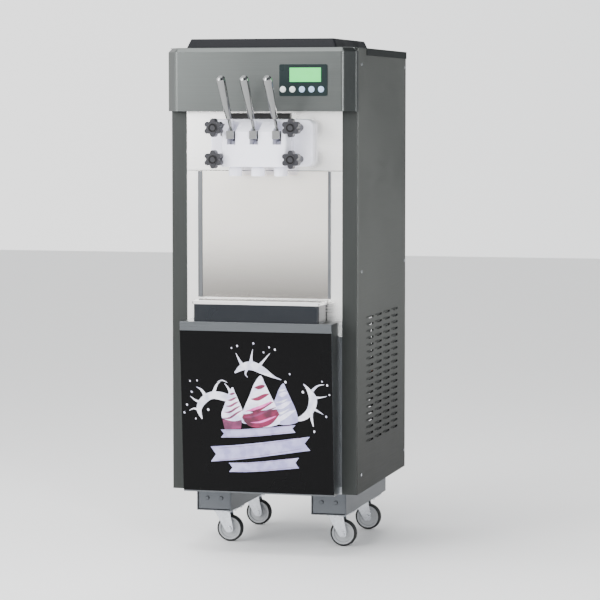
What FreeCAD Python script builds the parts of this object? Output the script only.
import FreeCAD, Part
import math
import os
import re
import Sketcher
from FreeCAD import Placement, Rotation, Vector

# Floor-standing soft-serve ice cream machine: two freezing cylinders, three draw levers.
# X runs to the machine's right, the front faces -Y, Z is up, the floor is at z = 0.
# Lengths in millimetres, angles in degrees.

doc = FreeCAD.newDocument("soft_serve_machine")
sheet = doc.addObject("Spreadsheet::Sheet", "dims")

sizes = {
    # cabinet
    "cab_width": 530,
    "cab_depth": 600,
    "cab_floor": 170,
    "cab_top": 1385,
    "skin_wall": 1.5,
    "easing": 0.3,
    "running_fit": 0.05,
    "pillar": 43,
    "pillar_return": 25,
    "rear_flange": 20,
    "pan_height": 20,
    "post": 25,
    "shelf_z": 680,
    "vent_length": 55,
    "vent_height": 6,
    "vent_pitch_z": 19,
    "vent_rows": 19,
    "vent_low": 300,
    "vent_first": 134,
    "vent_pitch_y": 102,
    "vent_columns": 4,
    "rear_vent_length": 150,
    "rear_vent_pitch_x": 175,
    "gland_x": -180,
    "gland_z": 215,
    "gland_out": 10,
    "gland_hole": 10,
    # top and lid
    "deck_flange": 20,
    "deck_flange_start": 100,
    "hopper_x": 104,
    "hopper_width": 186,
    "hopper_start": 60,
    "hopper_length": 262,
    "hopper_depth": 150,
    "hopper_rim": 8,
    "lid_width": 422,
    "lid_over": 30,
    "lid_length": 378,
    "lid_height": 24,
    "lid_taper": 22,
    "lid_wall": 3,
    "tube_radius": 10,
    "tube_bore": 7,
    "tube_top": 1335,
    # control housing and display
    "housing_floor": 1213,
    "housing_depth": 54,
    "housing_corner": 30,
    "housing_bevel": 22,
    "bezel_left": 59,
    "bezel_right": 192,
    "bezel_low": 1254,
    "bezel_high": 1339,
    "bezel_thick": 2.5,
    "screen_left": 87.5,
    "screen_right": 174.5,
    "screen_low": 1292,
    "screen_high": 1330,
    "screen_module": 8,
    "button_z": 1272,
    "button_x": 69.5,
    "button_pitch": 26.5,
    "button_radius": 7.4,
    "button_proud": 3,
    # freezing cylinders and dispensing head
    "barrel_x": 62,
    "barrel_z": 1127,
    "barrel_radius": 50,
    "barrel_wall": 5,
    "drive_room": 260,
    "beater_shaft": 8,
    "flange_thick": 8,
    "head_margin": 36,
    "head_low": 1064,
    "head_high": 1192,
    "head_thick": 25,
    "head_round": 9,
    "chest_margin": 28,
    "chest_out": 100,
    "chest_shoulder": 1158,
    "chest_crest": 1188,
    "lever_pitch": 64,
    "lever_slot": 12,
    "slot_floor": 1124,
    "piston_out": 58,
    "piston_radius": 11,
    "piston_low": 1076,
    "piston_high": 1162,
    "spout_radius": 15,
    "spout_low": 1046,
    "cap_wall": 3.5,
    "cap_low": 1038,
    "knob_gap": 44,
    "knob_low": 1084,
    "knob_high": 1169,
    "knob_radius": 25,
    "knob_hub": 10.5,
    "knob_thick": 26,
    "stud_radius": 5,
    "pivot_out": 88,
    "pivot_z": 1150,
    "pivot_radius": 4,
    "lever_arm": 30,
    "lever_lean": 36,
    "lever_length": 191,
    "lever_travel": 40,
    "grip_radius": 12.5,
    "neck_radius": 4.5,
    # serving bay, drip tray and door
    "splash_half": 187,
    "splash_low": 704,
    "splash_high": 1050,
    "ledge_z": 643,
    "tray_half": 176,
    "tray_start": 3,
    "tray_depth": 82,
    "tray_height": 57,
    "tray_wall": 2.5,
    "tray_rim": 9,
    "grate_thick": 2,
    "door_half": 213,
    "door_foot": 60,
    "door_head": 92,
    "door_trim": 25,
    "door_low": 172,
    "door_panel_thick": 2,
    # running gear
    "caster_x": 165,
    "caster_front": 165,
    "caster_back": 135,
    "caster_height": 100,
    "wheel_radius": 37.5,
    "wheel_width": 24,
    "wheel_trail": 20,
    "axle_radius": 4,
    "rail_width": 100,
    "rail_wall": 3,
    # cooling and drives
    "coil_half": 195,
    "coil_low": 190,
    "coil_high": 560,
    "coil_start": 40,
    "coil_thick": 45,
    "fan_radius": 120,
    "fan_z": 375,
    "compressor_x": -110,
    "compressor_back": 180,
    "compressor_radius": 85,
    "pipe_radius": 4,
}
for row, (name, number) in enumerate(sizes.items(), start=1):
    sheet.set(f"A{row}", name)
    sheet.set(f"B{row}", str(number))
    sheet.setAlias(f"B{row}", name)
doc.recompute()

derived = {}


def full(rule):
    # A rule with each derived name opened up and each size read from the sheet.
    def opened(match):
        word = match[0]
        return derived.get(word) or ("dims." + word if word in sizes else word)
    return re.sub(r"[a-z]\w*", opened, str(rule))


def derive(**rules):
    for name, rule in rules.items():
        derived[name] = "(" + full(rule) + ")"


def value(rule):
    return float(sheet.evalExpression(full(rule)))


def bind(thing, prop, rule):
    thing.setExpression(prop, full(rule))


derive(half="cab_width / 2")
derive(skin="half - skin_wall - easing", skin_in="half - skin_wall * 2 - easing")
derive(lever_reach="pivot_out + lever_length * sin(lever_lean) + grip_radius * cos(lever_lean)")
derive(front="(lever_reach - cab_depth - gland_out) / 2", back="front + cab_depth")
derive(bay_half="skin - pillar - easing")
derive(deck_low="cab_top - skin_wall", wall_y="front + 2")
derive(post_out="skin_in - skin_wall - easing", post_in="post_out - post",
       post_y="front + pillar_return + 5")
derive(pan_back="back - skin_wall * 2 - easing", post_back="pan_back - skin_wall - easing")
derive(post_top="deck_low - easing")
derive(hopper_floor="cab_top - hopper_depth", feed_y="front + hopper_start + 30")
derive(panel_y="front - housing_depth")
derive(piston_y="front - piston_out", pivot_y="front - pivot_out", chest_y="front - chest_out")
derive(barrel_bore="barrel_radius - barrel_wall", barrel_length="cab_depth - drive_room")
derive(knob_x="lever_pitch + knob_gap", head_half="lever_pitch + knob_gap + head_margin")
derive(chest_half="lever_pitch + chest_margin", caster_rear="cab_depth - caster_back")
derive(barrel_back="front + barrel_length", nose_tip="6.5", nose_drop="lever_arm * sin(lever_travel / 2)")
derive(slot_z="pivot_z - nose_drop")
derive(tray_front="front - tray_start - tray_depth", tray_top="ledge_z + easing + tray_height")
derive(fork_top="caster_height - 12 - easing", rail_back="back - 40")

turns = {
    "x": Rotation(Vector(0, 1, 0), 90),
    "y": Rotation(Vector(1, 0, 0), -90),
    "z": Rotation(),
}
nodes = []


def node(name, piece):
    # A finished sub-part: its label names its file.
    piece.Label = name
    nodes.append(piece)
    return piece


def place(piece, x, y, z):
    bind(piece, "Placement.Base.x", x)
    bind(piece, "Placement.Base.y", y)
    bind(piece, "Placement.Base.z", z)


def box(x, y, z):
    # A block between two rules on each axis.
    piece = doc.addObject("Part::Box", "block")
    for side, (start, end) in zip(("Length", "Width", "Height"), (x, y, z)):
        bind(piece, side, f"({end}) - ({start})")
    place(piece, x[0], y[0], z[0])
    return piece


def rod(axis, at, length, radius, bore=None):
    # A cylinder that starts at a point and runs the positive way along an axis.
    piece = doc.addObject("Part::Cylinder", "rod")
    piece.Placement = Placement(Vector(), turns[axis])
    bind(piece, "Height", length)
    bind(piece, "Radius", radius)
    place(piece, *at)
    if bore is None:
        return piece
    return cut(piece, [rod(axis, at, length, bore)])


def fuse(pieces):
    joined = doc.addObject("Part::MultiFuse", "joined")
    joined.Shapes = pieces
    return joined


def group(pieces):
    together = doc.addObject("Part::Compound", "group")
    together.Links = pieces
    return together


def cut(base, tools):
    result = doc.addObject("Part::Cut", "cut")
    result.Base = base
    result.Tool = tools[0] if len(tools) == 1 else group(tools)
    return result


def mirrored(piece):
    # The same piece on the other side of the machine.
    other = doc.addObject("Part::Mirroring", "mirrored")
    other.Source = piece
    other.Normal = (1, 0, 0)
    return other


def origin_part(body, role):
    return next(part for part in body.Origin.OriginFeatures if part.Role == role)


def sketch(body, plane, loops, offset):
    # Closed outlines on one of the body's own planes; a loop of three rules is a circle.
    drawing = body.newObject("Sketcher::SketchObject", "outline")
    drawing.AttachmentSupport = (origin_part(body, plane + "_Plane"), "")
    drawing.MapMode = "FlatFace"
    bind(drawing, "AttachmentOffset.Base.z", offset)
    for loop in loops:
        if len(loop) == 3 and not isinstance(loop[0], tuple):
            add_circle(drawing, *loop)
        else:
            add_outline(drawing, loop)
    return drawing


def hold(drawing, kind, first, rule):
    index = drawing.addConstraint(Sketcher.Constraint(kind, *first, value(rule)))
    bind(drawing, f"Constraints[{index}]", rule)


def add_circle(drawing, across, up, radius):
    centre = Vector(value(across), value(up), 0)
    index = drawing.addGeometry(Part.Circle(centre, Vector(0, 0, 1), value(radius)), False)
    hold(drawing, "Radius", (index,), radius)
    hold(drawing, "DistanceX", (-1, 1, index, 3), across)
    hold(drawing, "DistanceY", (-1, 1, index, 3), up)


def add_outline(drawing, loop):
    corners = [Vector(value(across), value(up), 0) for across, up in loop]
    first = None
    for start, end in zip(corners, corners[1:] + corners[:1]):
        index = drawing.addGeometry(Part.LineSegment(start, end), False)
        first = index if first is None else first
    count = len(corners)
    for step in range(count):
        joint = (first + step, 2, first + (step + 1) % count, 1)
        drawing.addConstraint(Sketcher.Constraint("Coincident", *joint))
    for step, (across, up) in enumerate(loop):
        hold(drawing, "DistanceX", (-1, 1, first + step, 1), across)
        hold(drawing, "DistanceY", (-1, 1, first + step, 1), up)


def rect(across, up):
    return [(across[0], up[0]), (across[1], up[0]), (across[1], up[1]), (across[0], up[1])]


def pad(body, plane, loops, start, end):
    # Material between two places on the plane's normal axis.
    offset = f"-({end})" if plane == "XZ" else start
    outline = sketch(body, plane, loops, offset)
    feature = body.newObject("PartDesign::Pad", "pad")
    feature.Profile = outline
    bind(feature, "Length", f"({end}) - ({start})")
    body.Tip = feature
    return feature


def pocket(body, plane, loops, start, end):
    # A cut between two places on the plane's normal axis.
    doc.recompute()
    before = body.Shape.Volume
    offset = f"-({end})" if plane == "XZ" else start
    outline = sketch(body, plane, loops, offset)
    feature = body.newObject("PartDesign::Pocket", "pocket")
    feature.Profile = outline
    feature.Reversed = True
    bind(feature, "Length", f"({end}) - ({start})")
    body.Tip = feature
    doc.recompute()
    if body.Shape.Volume >= before:
        raise RuntimeError(f"a pocket of {body.Label} cuts nothing")
    return feature


def prism(plane, loops, start, end):
    body = doc.addObject("PartDesign::Body", "body")
    pad(body, plane, loops, start, end)
    return body


def rounded(body, radius, picks, kind="Fillet"):
    # Edges that the test picks, taken from the body as it stands.
    doc.recompute()
    edges = [f"Edge{n}" for n, edge in enumerate(body.Shape.Edges, start=1) if picks(edge)]
    base = body.Tip
    feature = body.newObject("PartDesign::" + kind, kind.lower())
    feature.Base = (base, edges)
    bind(feature, "Radius" if kind == "Fillet" else "Size", radius)
    body.Tip = feature
    doc.recompute()
    if "Invalid" in feature.State:
        raise RuntimeError(f"{feature.Name} of {body.Label} fails on {edges}")
    return feature


def hollowed(body, wall, opens):
    # A shell of even wall, open at the faces that the test picks.
    doc.recompute()
    faces = [f"Face{n}" for n, face in enumerate(body.Shape.Faces, start=1) if opens(face)]
    base = body.Tip
    feature = body.newObject("PartDesign::Thickness", "shell")
    feature.Base = (base, faces)
    bind(feature, "Value", wall)
    feature.Join = "Intersection"
    feature.Reversed = True
    body.Tip = feature
    return feature


def flat_at(axis, rule):
    # A test for the faces or edges that lie in one plane across an axis.
    at = value(rule)

    def test(shape):
        bounds = shape.BoundBox
        low = getattr(bounds, axis.upper() + "Min")
        high = getattr(bounds, axis.upper() + "Max")
        return abs(low - at) < 1e-4 and abs(high - at) < 1e-4
    return test


def runs_along(axis, *where):
    # A test for straight edges along an axis that also meet every other test.
    lengths = {"x": "XLength", "y": "YLength", "z": "ZLength"}

    def test(edge):
        spans = {key: getattr(edge.BoundBox, prop) for key, prop in lengths.items()}
        straight = all(span < 1e-4 for key, span in spans.items() if key != axis)
        return straight and all(check(edge) for check in where)
    return test


def spread(body, feature, axis, pitch, count):
    # A feature repeated at even steps along one of the body's axes.
    pattern = body.newObject("PartDesign::LinearPattern", "pattern")
    pattern.Originals = [feature]
    pattern.Direction = (origin_part(body, axis + "_Axis"), [""])
    pattern.Mode = "Spacing"
    bind(pattern, "Offset", pitch)
    bind(pattern, "Occurrences", count)
    body.Tip = pattern
    return pattern


# --- fasteners and their holes ---

screw_heights = ("cab_floor + 50", "(cab_floor + cab_top) / 2", "cab_top - 45")


def panel_fasteners(shank):
    # Button-head screws through the side and rear panels into the frame's posts.
    pieces = []
    for side in ("-", ""):
        for up in screw_heights:
            for along in ("post_y + post / 2", "post_back - post / 2"):
                start = "skin - 8" if side == "" else "-skin"
                pieces.append(rod("x", (start, along, up), "8", shank))
            start = f"{side}(post_out - post / 2)"
            pieces.append(rod("y", (start, "back - 8", up), "8", shank))
    return pieces


screw_holes = group(panel_fasteners("2.1"))


def screw_heads():
    pieces = []
    for side in ("-", ""):
        for up in screw_heights:
            for along in ("post_y + post / 2", "post_back - post / 2"):
                start = "skin" if side == "" else "-skin - 1.8"
                pieces.append(rod("x", (start, along, up), "1.8", "4.2"))
            pieces.append(rod("y", (f"{side}(post_out - post / 2)", "back", up), "1.8", "4.2"))
    return pieces


screws = []
for shank, head in zip(panel_fasteners("2"), screw_heads()):
    screws.append(fuse([shank, head]))
node("panel_screws", group(screws))

# --- cabinet ---


def side_panel():
    # Folded sheet: front return, front pillar, side and rear flange.
    outline = [
        ("skin - pillar", "front + pillar_return"),
        ("skin - pillar", "front"),
        ("skin", "front"),
        ("skin", "back - skin_wall"),
        ("skin - rear_flange", "back - skin_wall"),
        ("skin - rear_flange", "back - skin_wall * 2"),
        ("skin_in + easing", "back - skin_wall * 2"),
        ("skin_in + easing", "front + skin_wall"),
        ("skin - pillar + skin_wall", "front + skin_wall"),
        ("skin - pillar + skin_wall", "front + pillar_return"),
    ]
    body = prism("XY", [outline], "cab_floor", "deck_low")
    outer_bend = runs_along("z", flat_at("x", "skin"), flat_at("y", "front"))
    inner_bend = runs_along("z", flat_at("x", "skin_in + easing"), flat_at("y", "front + skin_wall"))
    rounded(body, "skin_wall + 3", outer_bend)
    rounded(body, "3", inner_bend)
    slots = []
    for column in range(int(value("vent_columns"))):
        start = f"front + vent_first + vent_pitch_y * {column}"
        slots.append(rect((start, f"{start} + vent_length"), ("vent_low", "vent_low + vent_height")))
    vent = pocket(body, "YZ", slots, "skin - 5", "skin + 5")
    spread(body, vent, "Z", "vent_pitch_z", "vent_rows")
    return cut(body, [screw_holes])


node("right_side_panel", side_panel())
node("left_side_panel", cut(mirrored(nodes[-1].Base), [screw_holes]))

rear = prism("XZ", [rect(("-(skin - 2)", "skin - 2"), ("cab_floor + 2", "deck_low - easing"))],
             "back - skin_wall", "back")
slots = []
for side in ("-", ""):
    middle = f"{side}rear_vent_pitch_x / 2"
    slots.append(rect((f"{middle} - rear_vent_length / 2", f"{middle} + rear_vent_length / 2"),
                      ("vent_low", "vent_low + vent_height")))
rear_vent = pocket(rear, "XZ", slots, "back - 5", "back + 5")
spread(rear, rear_vent, "Z", "vent_pitch_z", "vent_rows")
gland_bore = rod("y", ("gland_x", "back - 10", "gland_z"), "20", "gland_hole")
node("rear_panel", cut(rear, [screw_holes, gland_bore]))

# The gland's screwed barrel passes through the rear panel, with a nut inside and a dome outside.
gland = fuse([
    rod("y", ("gland_x", "back - 16", "gland_z"), "16 + gland_out", "gland_hole - running_fit"),
    rod("y", ("gland_x", "back", "gland_z"), "gland_out - 3", "gland_hole + 5"),
    rod("y", ("gland_x", "back - 8", "gland_z"), "8 - skin_wall", "gland_hole + 5"),
])
node("cable_gland", cut(gland, [rod("y", ("gland_x", "back - 20", "gland_z"), "24 + gland_out", "5")]))


def pan_outline(inset):
    # The floor pan's edge: full width behind the pillars, narrower between them.
    wide = f"skin_in - {inset}"
    narrow = f"bay_half - {inset}"
    step = f"front + pillar_return + easing + {inset}"
    nose = f"wall_y + easing + {inset}"
    rear_edge = f"pan_back - {inset}"
    return [(f"-({wide})", step), (f"-({narrow})", step), (f"-({narrow})", nose), (narrow, nose),
            (narrow, step), (wide, step), (wide, rear_edge), (f"-({wide})", rear_edge)]


pan = prism("XY", [pan_outline("0")], "cab_floor", "cab_floor + pan_height")
pocket(pan, "XY", [pan_outline("skin_wall")], "cab_floor + skin_wall", "cab_floor + pan_height")
node("base_tray", pan)


def base_rail(side):
    across = (f"{side}caster_x - rail_width / 2", f"{side}caster_x + rail_width / 2")
    hole = (f"{side}caster_x - rail_width / 2 + rail_wall", f"{side}caster_x + rail_width / 2 - rail_wall")
    up = ("caster_height", "cab_floor")
    gap = ("caster_height + rail_wall", "cab_floor - rail_wall")
    return prism("XZ", [rect(across, up), rect(hole, gap)], "front + 70", "rail_back")


node("base_rails", group([base_rail("-"), base_rail("")]))

# Welded frame: four posts, two pairs of top rails, the mid shelf and the barrels' saddles.
frame_parts = []
frame_floor = "cab_floor + skin_wall"
for side in ("-", ""):
    ends = ("post_in", "post_out") if side == "" else ("-post_out", "-post_in")
    for along in (("post_y", "post_y + post"), ("post_back - post", "post_back")):
        frame_parts.append(box(ends, along, (frame_floor, "post_top")))
    frame_parts.append(box(ends, ("post_y", "post_back"), ("post_top - post", "post_top")))
frame_parts.append(box(("-post_out", "post_out"), ("post_y", "post_back"),
                       ("shelf_z", "shelf_z + 2")))
for along in ("front + 90", "barrel_back - 60"):
    frame_parts.append(box(("-barrel_x - barrel_radius - 15", "barrel_x + barrel_radius + 15"),
                           (along, f"{along} + 3"), ("shelf_z", "barrel_z")))
saddle_bores = []
for side in ("-", ""):
    saddle_bores.append(rod("y", (f"{side}barrel_x", "front + 60", "barrel_z"), "barrel_length",
                            "barrel_radius + easing"))
node("frame", cut(fuse(frame_parts), [screw_holes] + saddle_bores))

wall_outline = [
    ("-bay_half", "wall_y"),
    ("bay_half", "wall_y"),
    ("bay_half", "wall_y + 20"),
    ("bay_half - skin_wall", "wall_y + 20"),
    ("bay_half - skin_wall", "wall_y + skin_wall"),
    ("-bay_half + skin_wall", "wall_y + skin_wall"),
    ("-bay_half + skin_wall", "wall_y + 20"),
    ("-bay_half", "wall_y + 20"),
]
front_wall = prism("XY", [wall_outline], "ledge_z - 40", "deck_low - easing")
barrel_holes = []
for side in ("-", ""):
    barrel_holes.append([f"{side}barrel_x", "barrel_z", "barrel_radius + easing"])
    for up in ("knob_low", "knob_high"):
        barrel_holes.append([f"{side}knob_x", up, "stud_radius + 1"])
pocket(front_wall, "XZ", barrel_holes, "wall_y - 2", "wall_y + 4")
node("front_wall", front_wall)

node("splash_plate", prism("XZ", [rect(("-splash_half", "splash_half"), ("splash_low", "splash_high"))],
                           "wall_y - skin_wall", "wall_y"))

# Top deck with a flange down each side and an opening for each hopper.
deck = prism("XY", [rect(("-half", "half"), ("front", "back"))], "deck_low", "cab_top")
for side in ("-", ""):
    across = ("half - skin_wall", "half") if side == "" else ("-half", "-half + skin_wall")
    pad(deck, "XY", [rect(across, ("front + deck_flange_start", "back"))], "cab_top - deck_flange",
        "deck_low")
    hole = rect((f"{side}hopper_x - hopper_width / 2", f"{side}hopper_x + hopper_width / 2"),
                ("front + hopper_start", "front + hopper_start + hopper_length"))
    pocket(deck, "XY", [hole], "deck_low - 1", "cab_top + 1")
node("top_cover", deck)


def hopper(side):
    # A stainless basin that hangs in the deck by its rim, with a feed hole in its floor.
    def ring(grow):
        return rect((f"{side}hopper_x - hopper_width / 2 - ({grow})",
                     f"{side}hopper_x + hopper_width / 2 + ({grow})"),
                    (f"front + hopper_start - ({grow})",
                     f"front + hopper_start + hopper_length + ({grow})"))
    body = prism("XY", [ring("-easing")], "hopper_floor", "cab_top")
    rounded(body, "18", runs_along("z"))
    hollowed(body, "1.2", flat_at("z", "cab_top"))
    pad(body, "XY", [ring("hopper_rim"), ring("-easing - 6.5")], "cab_top", "cab_top + 1.2")
    pocket(body, "XY", [[f"{side}barrel_x", "feed_y", "tube_radius + running_fit"]], "hopper_floor - 1",
           "hopper_floor + 2")
    return body


node("hoppers", group([hopper("-"), hopper("")]))

# Air and mix feed tubes stand in the basins and reach down into the barrels.
tubes = []
for side in ("-", ""):
    at = (f"{side}barrel_x", "feed_y", "barrel_z + barrel_bore + 1")
    tubes.append(rod("z", at, "tube_top - barrel_z - barrel_bore - 1", "tube_radius", "tube_bore"))
node("air_tubes", group(tubes))



def lid_form(inset, corner, low):
    # The lid's tapered block drawn in by an inset.
    body = doc.addObject("PartDesign::Body", "body")
    block = pad(body, "XY", [rect((f"-lid_width / 2 + {inset}", f"lid_width / 2 - {inset}"),
                                  (f"front - lid_over + {inset}",
                                   f"front - lid_over + lid_length - {inset}"))],
                low, f"cab_top + easing + lid_height - {inset}")
    bind(block, "TaperAngle", "-lid_taper")
    rounded(body, corner, lambda edge: edge.BoundBox.ZLength > value("lid_height") * 0.7)
    return body


lid_outer = lid_form("0", "8", "cab_top + easing")
rounded(lid_outer, "4", flat_at("z", "cab_top + easing + lid_height"))
lid = cut(lid_outer, [lid_form("lid_wall", "5", "cab_top + easing")])
node("hopper_lid", lid)

# --- control housing and display ---



def housing_form(inset, rear):
    # The housing's outline drawn in by an inset, with its front upper edge bevelled.
    corner = f"(housing_corner - {inset} * 0.586)"
    body = prism("XY", [[
        (f"-half + {inset}", rear),
        (f"-half + {inset}", f"panel_y + {inset} + {corner}"),
        (f"-half + {inset} + {corner}", f"panel_y + {inset}"),
        (f"half - {inset} - {corner}", f"panel_y + {inset}"),
        (f"half - {inset}", f"panel_y + {inset} + {corner}"),
        (f"half - {inset}", rear),
    ]], f"housing_floor + {inset}", f"cab_top - {inset}")
    top_edge = flat_at("z", f"cab_top - {inset}")
    rounded(body, "housing_bevel / 2", lambda edge: top_edge(edge) and edge.BoundBox.YMin < value("front - 1"),
            "Chamfer")
    return body


opening = rect(("bezel_left + 1.5", "bezel_right - 1.5"), ("bezel_low + 6", "bezel_high - 5"))
panel_hole = prism("XZ", [opening], "panel_y - 1", "panel_y + skin_wall + 1")
housing = cut(housing_form("0", "front"), [housing_form("skin_wall", "front + 1"), panel_hole])
node("control_housing", housing)

button_at = [f"button_x + button_pitch * {count}" for count in range(5)]
bezel = prism("XZ", [rect(("bezel_left", "bezel_right"), ("bezel_low", "bezel_high"))],
              "panel_y - bezel_thick", "panel_y")
rounded(bezel, "4", runs_along("y"))
screen_hole = rect(("screen_left", "screen_right"), ("screen_low", "screen_high"))
pocket(bezel, "XZ", [screen_hole], "panel_y - bezel_thick - 1", "panel_y + 1")
for across in button_at:
    pocket(bezel, "XZ", [[across, "button_z", "button_radius + 0.1"]], "panel_y - bezel_thick - 1",
           "panel_y + 1")
node("display_bezel", bezel)

# The screen's easing face fills its window; the module behind it bears on the bezel's back.
screen = prism("XZ", [rect(("screen_left + 0.1", "screen_right - 0.1"),
                           ("screen_low + 0.1", "screen_high - 0.1"))],
               "panel_y - bezel_thick + 0.5", "panel_y")
pad(screen, "XZ", [rect(("screen_left - 3", "screen_right + 3"), ("screen_low - 2", "screen_high + 2"))],
    "panel_y", "panel_y + screen_module")
node("display_window", screen)

for number, across in enumerate(button_at, start=1):
    cap = rod("y", (across, "panel_y - bezel_thick - button_proud", "button_z"),
              "bezel_thick + button_proud + easing", "button_radius")
    collar = rod("y", (across, "panel_y + easing", "button_z"), "2", "button_radius + 1")
    node(f"control_button_{number}", fuse([cap, collar]))

# --- freezing cylinders ---

barrels = [box(("-head_half + 4", "head_half - 4"),
               ("wall_y + skin_wall", "wall_y + skin_wall + flange_thick"),
               ("head_low + 4", "head_high - 4"))]
hollows = []
for side in ("-", ""):
    barrels.append(rod("y", (f"{side}barrel_x", "front", "barrel_z"), "barrel_length", "barrel_radius"))
    barrels.append(rod("z", (f"{side}barrel_x", "feed_y", "barrel_z + barrel_radius - 6"), "14",
                       "tube_radius + 4"))
    hollows.append(rod("y", (f"{side}barrel_x", "front - 1", "barrel_z"), "barrel_length - 7",
                       "barrel_bore"))
    hollows.append(rod("y", (f"{side}barrel_x", "barrel_back - 20", "barrel_z"), "40",
                       "beater_shaft + running_fit"))
    hollows.append(rod("z", (f"{side}barrel_x", "feed_y", "barrel_z"), "80", "tube_radius + running_fit"))
    for up in ("knob_low", "knob_high"):
        hollows.append(rod("y", (f"{side}knob_x", "front", up), "30", "stud_radius + running_fit"))
node("freezing_cylinders", cut(fuse(barrels), hollows))

# One beater to a barrel: shaft, three spiders and two scraper bars.
for side, label in (("-", "left"), ("", "right")):
    across = f"{side}barrel_x"
    parts = [rod("y", (across, "front - 7", "barrel_z"), "barrel_length + 37", "beater_shaft")]
    for along in ("front + 12", "front + barrel_length / 2", "barrel_back - 20"):
        parts.append(box((f"{across} - (barrel_bore - 3)", f"{across} + barrel_bore - 3"),
                         (along, f"{along} + 6"),
                         ("barrel_z - 5", "barrel_z + 5")))
    for reach in ("3 - barrel_bore", "barrel_bore - 9"):
        parts.append(box((f"{across} + {reach}", f"{across} + {reach} + 6"),
                         ("front + 12", "barrel_back - 14"),
                         ("barrel_z - 5", "barrel_z + 5")))
    node(f"{label}_beater", fuse(parts))

# --- dispensing head ---

head = prism("XZ", [rect(("-head_half", "head_half"), ("head_low", "head_high"))], "front - head_thick",
             "front")
rounded(head, "head_round * 2", runs_along("y"))
rounded(head, "head_round / 2", flat_at("y", "front - head_thick"))
chest = prism("YZ", [[
    ("front - head_thick + 1", "head_low"),
    ("chest_y", "head_low"),
    ("chest_y", "chest_shoulder"),
    ("front - 44", "chest_crest"),
    ("front - head_thick + 1", "chest_crest"),
]], "-chest_half", "chest_half")
front_corners = runs_along("z", lambda edge: edge.BoundBox.YMax < value("front - 60"))
rounded(chest, "head_round", front_corners)
solids = [head, chest]
bores = []
lever_at = [f"{count} * lever_pitch" for count in (-1, 0, 1)]
for across in lever_at:
    solids.append(rod("z", (across, "piston_y", "spout_low"), "head_low - spout_low + 5", "spout_radius"))
    bores.append(rod("z", (across, "piston_y", "spout_low - 5"), "200", "piston_radius + running_fit"))
    bores.append(box((f"{across} - lever_slot", f"{across} + lever_slot"),
                     ("chest_y - 1", "front - head_thick - 4"), ("slot_floor", "chest_crest + 5")))
for side in ("-", ""):
    bores.append(rod("y", (f"{side}barrel_x", "front - 8", "barrel_z"), "10", "beater_shaft + running_fit"))
    bores.append(rod("y", (f"{side}lever_pitch", "piston_y", "head_low + 28"), "piston_out + 1", "8"))
    for up in ("knob_low", "knob_high"):
        bores.append(rod("y", (f"{side}knob_x", "front - head_thick - 1", up), "head_thick + 2",
                         "stud_radius + 0.5"))
    # the middle spout draws from both barrels by a slanting passage each
    start = Vector(value(f"{side}30"), value("front"), value("head_low + 28"))
    finish = Vector(0, value("piston_y"), value("head_low + 28"))
    passage = doc.addObject("Part::Cylinder", "passage")
    passage.Placement = Placement(start, Rotation(Vector(0, 0, 1), finish - start))
    passage.Height = (finish - start).Length
    passage.Radius = 6
    bores.append(passage)
bores.append(rod("x", ("-chest_half - 5", "pivot_y", "pivot_z"), "chest_half * 2 + 10",
                 "pivot_radius + running_fit"))
for side in ("-", ""):
    ring = rod("y", (f"{side}barrel_x", "front - 2.6", "barrel_z"), "3", "barrel_radius - 0.3",
               "barrel_radius - 4.7")
    bores.append(ring)
node("dispensing_head", cut(fuse(solids), bores))

seals = []
for side in ("-", ""):
    seal = doc.addObject("Part::Torus", "seal")
    seal.Placement = Placement(Vector(), turns["y"])
    bind(seal, "Radius1", "barrel_radius - 2.5")
    seal.Radius2 = 1.3
    place(seal, f"{side}barrel_x", "front - 1.3", "barrel_z")
    seals.append(seal)
node("head_seals", group(seals))

node("lever_pivot_pin", fuse([
    rod("x", ("-chest_half - 4", "pivot_y", "pivot_z"), "chest_half * 2 + 8", "pivot_radius"),
    rod("x", ("chest_half + easing", "pivot_y", "pivot_z"), "4", "pivot_radius + 3"),
]))

caps = []
for across in lever_at:
    cap = rod("z", (across, "piston_y", "cap_low"), "head_low - cap_low - 4", "spout_radius + cap_wall")
    socket = rod("z", (across, "piston_y", "cap_low + 4"), "40", "spout_radius + running_fit")
    star = [box((f"{across} - 1.5", f"{across} + 1.5"), ("piston_y - 9", "piston_y + 9"),
                ("cap_low - 1", "cap_low + 6"))]
    star.append(box((f"{across} - 9", f"{across} + 9"), ("piston_y - 1.5", "piston_y + 1.5"),
                    ("cap_low - 1", "cap_low + 6")))
    star.append(rod("z", (across, "piston_y", "cap_low - 1"), "8", "5"))
    caps.append(cut(cap, [socket] + star))
node("spout_caps", group(caps))

names = ("left", "middle", "right")
for across, label in zip(lever_at, names):
    # Draw piston: closes the spout from above, notched for the lever's nose.
    core = rod("z", (across, "piston_y", "piston_low"), "piston_high - piston_low", "piston_radius")
    notch = box((f"{across} - 15", f"{across} + 15"), ("piston_y - 15", "piston_y + nose_tip + 0.5"),
                ("slot_z - nose_tip - 0.6", "slot_z + nose_tip + 0.6"))
    node(f"{label}_draw_piston", cut(core, [notch]))


def lever():
    # Drawn upright with its pivot at the body's origin, then leaned forward about the pivot.
    body = doc.addObject("PartDesign::Body", "body")
    profile = [
        ("0", "4"),
        ("neck_radius", "4"),
        ("neck_radius", "lever_length * 0.26"),
        ("grip_radius * 0.64", "lever_length * 0.3"),
        ("grip_radius", "lever_length - 14"),
        ("grip_radius * 0.9", "lever_length - 5"),
        ("grip_radius * 0.5", "lever_length"),
        ("0", "lever_length"),
    ]
    outline = sketch(body, "YZ", [profile], "0")
    turned = body.newObject("PartDesign::Revolution", "turned")
    turned.Profile = outline
    turned.ReferenceAxis = (origin_part(body, "Z_Axis"), [""])
    turned.Angle = 360
    body.Placement = Placement(Vector(), Rotation(Vector(1, 0, 0), value("lever_lean")))
    return body


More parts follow.
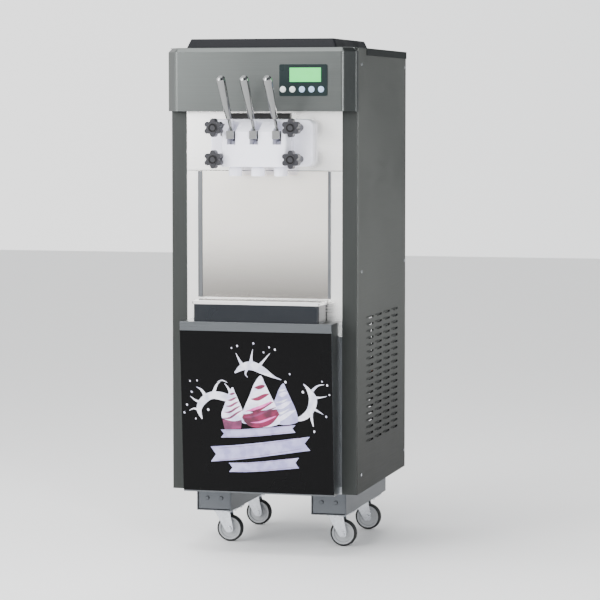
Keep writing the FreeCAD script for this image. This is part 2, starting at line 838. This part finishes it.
for across, label in zip(lever_at, names):
    grip = lever()
    place(grip, across, "pivot_y", "pivot_z")
    foot = box((f"{across} - 10", f"{across} + 10"), ("pivot_y - 24", "pivot_y + 4"),
               ("pivot_z - 11", "pivot_z + 11"))
    hub = rod("x", (f"{across} - 10", "pivot_y", "pivot_z"), "20", "11")
    nose = doc.addObject("PartDesign::Body", "body")
    pad(nose, "YZ", [rect(("0", "lever_arm"), ("-3", "3"))], "-4", "4")
    pad(nose, "YZ", [["lever_arm", "0", "nose_tip"]], "-4", "4")
    nose.Placement = Placement(Vector(), Rotation(Vector(1, 0, 0), -value("lever_travel") / 2))
    place(nose, across, "pivot_y", "pivot_z")
    bore = rod("x", (f"{across} - 20", "pivot_y", "pivot_z"), "40", "pivot_radius + running_fit * 2")
    node(f"{label}_draw_lever", cut(fuse([grip, foot, hub, nose]), [bore]))

# Four lobed hand nuts with their studs hold the head to the barrels' flange.
for side, column in (("-", "left"), ("", "right")):
    for up, row in (("knob_low", "lower"), ("knob_high", "upper")):
        across = f"{side}knob_x"
        star_y = "chest_y - easing - knob_thick"
        parts = [
            rod("y", (across, star_y, up), "knob_thick", "knob_radius - 7"),
            rod("y", (across, f"{star_y} - 3", up), "3.5", "knob_radius - 13"),
            rod("y", (across, star_y, up), f"front - head_thick - easing - ({star_y})", "knob_hub"),
            rod("y", (across, "front - head_thick - 1", up), "head_thick + 11", "stud_radius"),
        ]
        for lobe in range(6):
            turn = 60 * lobe + 30
            parts.append(rod("y", (f"{across} + (knob_radius - 7.5) * cos({turn})", star_y,
                                   f"{up} + (knob_radius - 7.5) * sin({turn})"), "knob_thick", "7.5"))
        node(f"{column}_{row}_star_knob", fuse(parts))

# --- drip tray and door ---

tray_sides = ("-tray_half", "tray_half")
tray_ends = ("tray_front", "front - tray_start")
tray = prism("XY", [rect(tray_sides, tray_ends)], "ledge_z + easing", "tray_top")
rounded(tray, "tray_wall * 2.4", runs_along("z"))
pad(tray, "XY", [rect(("-tray_half - 2", "tray_half + 2"), ("tray_front - 2", "front - tray_start"))],
    "tray_top - tray_rim", "tray_top")
grate_low = "tray_top - grate_thick"
inner = rect(("-tray_half + tray_wall", "tray_half - tray_wall"),
             ("tray_front + tray_wall", "front - tray_start - tray_wall"))
seat = rect(("-tray_half + tray_wall / 2", "tray_half - tray_wall / 2"),
            ("tray_front + tray_wall / 2", "front - tray_start - tray_wall / 2"))
pocket(tray, "XY", [seat], grate_low, "tray_top + 1")
pocket(tray, "XY", [inner], "ledge_z + easing + tray_wall", "tray_top")
node("drip_tray", tray)

grate_edge = "(tray_wall / 2 + easing)"
grate_ends = (f"tray_front + {grate_edge}", f"front - tray_start - {grate_edge}")
grate = prism("XY", [rect((f"-tray_half + {grate_edge}", f"tray_half - {grate_edge}"), grate_ends)],
              grate_low, "tray_top")
bar_slot = rect(("-tray_half + 14", "-tray_half + 20"), ("tray_front + 12", "front - tray_start - 12"))
slot_cut = pocket(grate, "XY", [bar_slot], "tray_top - 5", "tray_top + 1")
spread(grate, slot_cut, "X", "12", "floor((tray_half * 2 - 34) / 12) + 1")
node("drip_grate", grate)

door_top = "ledge_z - door_trim"
shell = prism("YZ", [[
    ("wall_y", "door_low"),
    ("front - door_foot + door_panel_thick", "door_low"),
    ("front - door_head + door_panel_thick", door_top),
    ("front - door_head", door_top),
    ("front - door_head", "ledge_z"),
    ("wall_y", "ledge_z"),
]], "-door_half", "door_half")
hollowed(shell, "skin_wall", flat_at("y", "wall_y"))
node("door_shell", shell)

lean_step = f"(door_head - door_foot) / ({door_top} - door_low) * 4"
node("door_panel", prism("YZ", [[
    (f"front - door_foot - ({lean_step}) + door_panel_thick", "door_low + 4"),
    (f"front - door_foot - ({lean_step})", "door_low + 4"),
    ("front - door_head", door_top),
    ("front - door_head + door_panel_thick", door_top),
]], "-door_half", "door_half"))

# --- drives and cooling ---

motors = []
for side in ("-", ""):
    across = f"{side}barrel_x"
    gearbox = box((f"{across} - barrel_radius", f"{across} + barrel_radius"),
                  ("barrel_back", "barrel_back + 60"),
                  ("barrel_z - barrel_radius", "barrel_z + barrel_radius"))
    motor = rod("y", (across, "barrel_back + 55", "barrel_z"), "135", "barrel_radius - 3")
    shaft = rod("y", (across, "barrel_back - 1", "barrel_z"), "45", "beater_shaft + running_fit")
    foot = box((f"{across} - barrel_radius + 5", f"{across} + barrel_radius - 5"),
               ("barrel_back + 8", "barrel_back + 52"), ("shelf_z + 2", "barrel_z - barrel_radius + 1"))
    motors.append(cut(fuse([gearbox, motor, foot]), [shaft]))
node("gear_motors", group(motors))

compressor_y = "back - compressor_back"
can = prism("XY", [["compressor_x", compressor_y, "compressor_radius"]], "cab_floor + 22",
            "cab_floor + 240")
rounded(can, "compressor_radius * 0.5", lambda edge: edge.BoundBox.XLength > 10)
feet = [can, box(("compressor_x - 95", "compressor_x + 95"),
                 (f"{compressor_y} - 95", f"{compressor_y} + 95"),
                 ("cab_floor + 20", "cab_floor + 23"))]
for across in ("-80", "80"):
    for along in ("-80", "80"):
        feet.append(rod("z", (f"compressor_x + {across}", f"{compressor_y} + {along}",
                              "cab_floor + skin_wall"),
                        "20 - skin_wall", "12"))
node("compressor", fuse(feet))

coil_y = "front + coil_start"
fins = []
fin_count = 27
for number in range(fin_count):
    across = f"-coil_half + 6 + (coil_half * 2 - 13) / {fin_count - 1} * {number}"
    fins.append(box((across, f"{across} + 1"), (coil_y, f"{coil_y} + coil_thick"),
                    ("coil_low", "coil_high")))
for side in ("-coil_half", "coil_half - 2"):
    fins.append(box((side, f"{side} + 2"), (coil_y, f"{coil_y} + coil_thick"),
                    ("cab_floor + skin_wall", "coil_high + 4")))
for number in range(8):
    up = f"coil_low + 25 + (coil_high - coil_low - 50) / 7 * {number}"
    fins.append(rod("x", ("-coil_half - 6", f"{coil_y} + coil_thick / 2", up), "coil_half * 2 + 12", "5"))
node("condenser", fuse(fins))

shroud_y = f"{coil_y} + coil_thick"
shroud = prism("XZ", [rect(("-coil_half", "coil_half"), ("coil_low", "coil_high")),
                      ["0", "fan_z", "fan_radius + 6"]],
               shroud_y, f"{shroud_y} + 2")
shroud_ring = rod("y", ("0", shroud_y, "fan_z"), "36", "fan_radius + 8", "fan_radius + 6")
arms = []
motor_y = f"{shroud_y} + 50"
for side, lean in (("-", "-1"), ("", "1")):
    ends = ("34", "fan_radius + 16") if side == "" else ("-fan_radius - 16", "-34")
    arms.append(box(ends, (motor_y, f"{motor_y} + 3"), ("fan_z - 8", "fan_z + 8")))
    stay = ("fan_radius + 13", "fan_radius + 16") if side == "" else ("-fan_radius - 16",
                                                                      "-fan_radius - 13")
    arms.append(box(stay, (shroud_y, f"{motor_y} + 3"), ("fan_z - 8", "fan_z + 8")))
ring_hole = rod("y", ("0", f"{motor_y} - 1", "fan_z"), "5", "38")
motor_ring = rod("y", ("0", motor_y, "fan_z"), "3", "46")
node("fan_shroud", cut(fuse([shroud, shroud_ring, motor_ring] + arms), [ring_hole]))
node("fan_motor", fuse([
    rod("y", ("0", motor_y, "fan_z"), "60", "38"),
    rod("y", ("0", f"{motor_y} - 26", "fan_z"), "30", "axle_radius"),
]))

blades = [rod("y", ("0", f"{motor_y} - 27", "fan_z"), "22", "28")]
for number in range(5):
    blade = doc.addObject("Part::Box", "blade")
    blade.Length = 40
    blade.Width = 2
    bind(blade, "Height", "fan_radius - 22")
    pitch = Placement(Vector(-20, -1, 20), Rotation())
    twist = Placement(Vector(), Rotation(Vector(0, 0, 1), 25))
    spoke = Placement(Vector(), Rotation(Vector(0, 1, 0), 72 * number))
    blade.Placement = spoke * twist * pitch
    hub_at = Placement(Vector(0, value(f"{motor_y} - 16"), value("fan_z")), Rotation())
    blade.Placement = hub_at * blade.Placement
    blades.append(blade)
fan_bore = rod("y", ("0", f"{motor_y} - 40", "fan_z"), "60", "axle_radius + running_fit")
node("condenser_fan", cut(fuse(blades), [fan_bore]))

case = prism("XY", [rect(("post_in - 110", "post_in - 2"), ("post_back - 110", "post_back - 5"))],
             "shelf_z + 2", "shelf_z + 222")
pocket(case, "XZ", [rect(("post_in - 108", "post_in - 4"), ("shelf_z + 4", "shelf_z + 220"))],
       "post_back - 111", "post_back - 7")
cover = box(("post_in - 110", "post_in - 2"), ("post_back - 111.5", "post_back - 110"),
            ("shelf_z + 2", "shelf_z + 222"))
node("electrical_box", group([case, cover]))


def bent_pipe(points, bend):
    # A round tube's solid along straight runs joined by tangent arcs.
    corners = [Vector(*(value(rule) for rule in point)) for point in points]
    edges = []
    start = corners[0]
    for before, corner, after in zip(corners, corners[1:], corners[2:]):
        into = (corner - before).normalize()
        out = (after - corner).normalize()
        setback = bend * math.tan(into.getAngle(out) / 2)
        arc_start = corner - into * setback
        arc_end = corner + out * setback
        centre_way = (out - into).normalize()
        depth = bend / math.cos(into.getAngle(out) / 2) - bend
        edges.append(Part.LineSegment(start, arc_start).toShape())
        edges.append(Part.Arc(arc_start, corner + centre_way * depth, arc_end).toShape())
        start = arc_end
    edges.append(Part.LineSegment(start, corners[-1]).toShape())
    section = Part.Circle(corners[0], corners[1] - corners[0], value("pipe_radius")).toShape()
    return Part.Wire(edges).makePipeShell([Part.Wire([section])], True, True)


top_of_can = "cab_floor + 240"
coil_pipe_y = f"{coil_y} + coil_thick / 2"
pipes = doc.addObject("Part::Feature", "pipes")
pipes.Shape = Part.makeCompound([
    bent_pipe([("compressor_x", compressor_y, top_of_can),
               ("compressor_x", compressor_y, f"{top_of_can} + 60"),
               ("coil_half + 20", compressor_y, f"{top_of_can} + 60"),
               ("coil_half + 20", coil_pipe_y, f"{top_of_can} + 60"),
               ("coil_half + 20", coil_pipe_y, "coil_high - 25"),
               ("coil_half + 6", coil_pipe_y, "coil_high - 25")], 13),
    bent_pipe([("-coil_half - 6", coil_pipe_y, "coil_low + 25"),
               ("-coil_half - 24", coil_pipe_y, "coil_low + 25"),
               ("-coil_half - 24", coil_pipe_y, "shelf_z - 30"),
               ("-coil_half - 24", "front + 250", "shelf_z - 30")], 13),
])
node("refrigerant_pipes", pipes)

# --- casters ---

corner_names = {("-", "caster_front"): "front_left", ("", "caster_front"): "front_right",
                ("-", "caster_rear"): "rear_left", ("", "caster_rear"): "rear_right"}
plates = []
for (side, along), label in corner_names.items():
    x = f"{side}caster_x"
    y = f"front + {along}"
    plate = [
        box((f"{x} - 50", f"{x} + 50"), (f"{y} - 40", f"{y} + 40"), ("caster_height - 3", "caster_height")),
        rod("z", (x, y, "caster_height - 12"), "10", "30"),
        rod("z", (x, y, "fork_top - 7"), "16", "axle_radius + 2"),
        rod("z", (x, y, "fork_top - 7"), "3.5", "axle_radius + 6"),
    ]
    for bolt_x in ("-40", "40"):
        for bolt_y in ("-30", "30"):
            plate.append(rod("z", (f"{x} + {bolt_x}", f"{y} + {bolt_y}", "caster_height - 8"), "6", "6"))
    plates.append(fuse(plate))

    # Swivel fork: a ring under the raceway, two tapered legs and the axle.
    wheel_x = f"{x} + wheel_trail"
    fork = [rod("z", (x, y, "fork_top - 3"), "3", "28")]
    for flank in ("-", ""):
        leg_start = "wheel_width / 2 + 2" if flank == "" else "-wheel_width / 2 - 4.5"
        fork.append(prism("XZ", [[
            (f"{x} - 22", "fork_top - 0.5"),
            (f"{wheel_x} - 11", "wheel_radius - 6"),
            (f"{wheel_x} - 6", "wheel_radius - 11"),
            (f"{wheel_x} + 6", "wheel_radius - 11"),
            (f"{wheel_x} + 11", "wheel_radius - 6"),
            (f"{wheel_x} + 11", "wheel_radius + 6"),
            (f"{x} + 22", "fork_top - 0.5"),
        ]], f"{y} + {leg_start}", f"{y} + {leg_start} + 2.5"))
    fork.append(rod("y", (wheel_x, f"{y} - wheel_width / 2 - 9", "wheel_radius"), "wheel_width + 18",
                    "axle_radius"))
    for flank in ("- wheel_width / 2 - 9", "+ wheel_width / 2 + 4.5"):
        fork.append(rod("y", (wheel_x, f"{y} {flank}", "wheel_radius"), "4.5", "axle_radius + 3"))
    king_hole = rod("z", (x, y, "fork_top - 10"), "20", "axle_radius + 2 + running_fit")
    node(f"{label}_caster_fork", cut(fuse(fork), [king_hole]))

    tyre = prism("XZ", [[wheel_x, "wheel_radius", "wheel_radius"]], f"{y} - wheel_width / 2",
                 f"{y} + wheel_width / 2")
    rounded(tyre, "4", lambda edge: edge.BoundBox.XLength > 20)
    recess = []
    for flank in ("- wheel_width / 2 - 1", "+ wheel_width / 2 - 2"):
        recess.append(rod("y", (wheel_x, f"{y} {flank}", "wheel_radius"), "3", "wheel_radius - 9", "11"))
    bore = rod("y", (wheel_x, f"{y} - 30", "wheel_radius"), "60", "axle_radius + running_fit")
    hub = rod("y", (wheel_x, f"{y} - wheel_width / 2 - 1.5", "wheel_radius"), "wheel_width + 3", "10")
    node(f"{label}_caster_wheel", cut(fuse([tyre, hub]), recess + [bore]))
node("caster_plates", group(plates))

# --- checks and files ---

doc.recompute()
broken = [thing.Name for thing in doc.Objects if {"Invalid", "Error"} & set(thing.State)]
for piece in nodes:
    if piece.Shape.isNull() or not piece.Shape.isValid() or not piece.Shape.Solids:
        broken.append(piece.Label)
if broken:
    raise RuntimeError("failed objects: " + ", ".join(broken))
os.makedirs("parts", exist_ok=True)
for piece in nodes:
    piece.Shape.exportStep(f"parts/{piece.Label}.step")
print(len(nodes), "nodes written")
